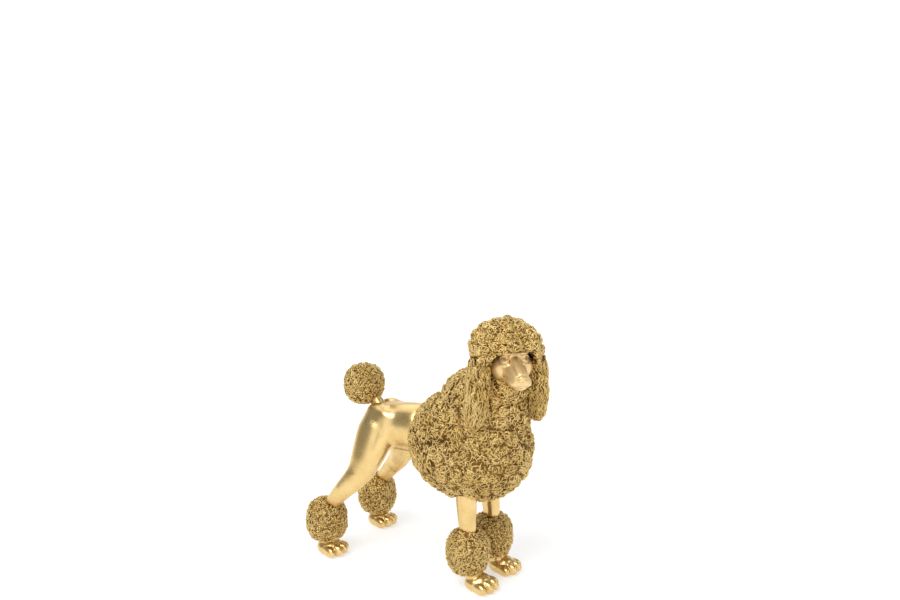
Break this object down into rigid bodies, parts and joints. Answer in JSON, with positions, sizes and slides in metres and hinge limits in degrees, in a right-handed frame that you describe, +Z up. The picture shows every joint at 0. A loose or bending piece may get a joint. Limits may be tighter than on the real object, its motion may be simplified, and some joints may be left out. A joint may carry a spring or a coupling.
{
  "type": "poodle figurine",
  "caption": "Standing poodle figurine in the show clip, its head turned aside, with a curled coat and smooth shiny loins, legs and face.",
  "frame": {"origin": "middle of the bounding box, on the surface the figurine stands on", "axes": "+Z up, -Y the way the body faces, +X to the dog's left"},
  "size_m": [0.1304, 0.2526, 0.2675],
  "materials": {
    "smooth_gold": "satin gold lacquer",
    "curled_gold": "gold lacquer over curls, darker in the crevices",
    "felt": "felt",
    "stopper": "matte"
  },
  "bodies": {
    "root": {"torso": "smooth_gold", "right_hind_leg": "smooth_gold", "left_hind_leg": "smooth_gold", "right_front_leg": "smooth_gold", "left_front_leg": "smooth_gold", "right_front_paw": "smooth_gold", "left_front_paw": "smooth_gold", "right_hind_paw": "smooth_gold", "left_hind_paw": "smooth_gold", "head": "smooth_gold", "nose": "smooth_gold", "right_eye": "smooth_gold", "left_eye": "smooth_gold", "tail_stem": "smooth_gold", "mane": "curled_gold", "topknot": "curled_gold", "right_ear": "curled_gold", "left_ear": "curled_gold", "tail_pompom": "curled_gold", "right_front_cuff": "curled_gold", "left_front_cuff": "curled_gold", "right_hind_cuff": "curled_gold", "left_hind_cuff": "curled_gold", "right_front_foot_pad": "felt", "left_front_foot_pad": "felt", "right_hind_foot_pad": "felt", "left_hind_foot_pad": "felt", "vent_stopper": "stopper"}
  },
  "joints": []
}
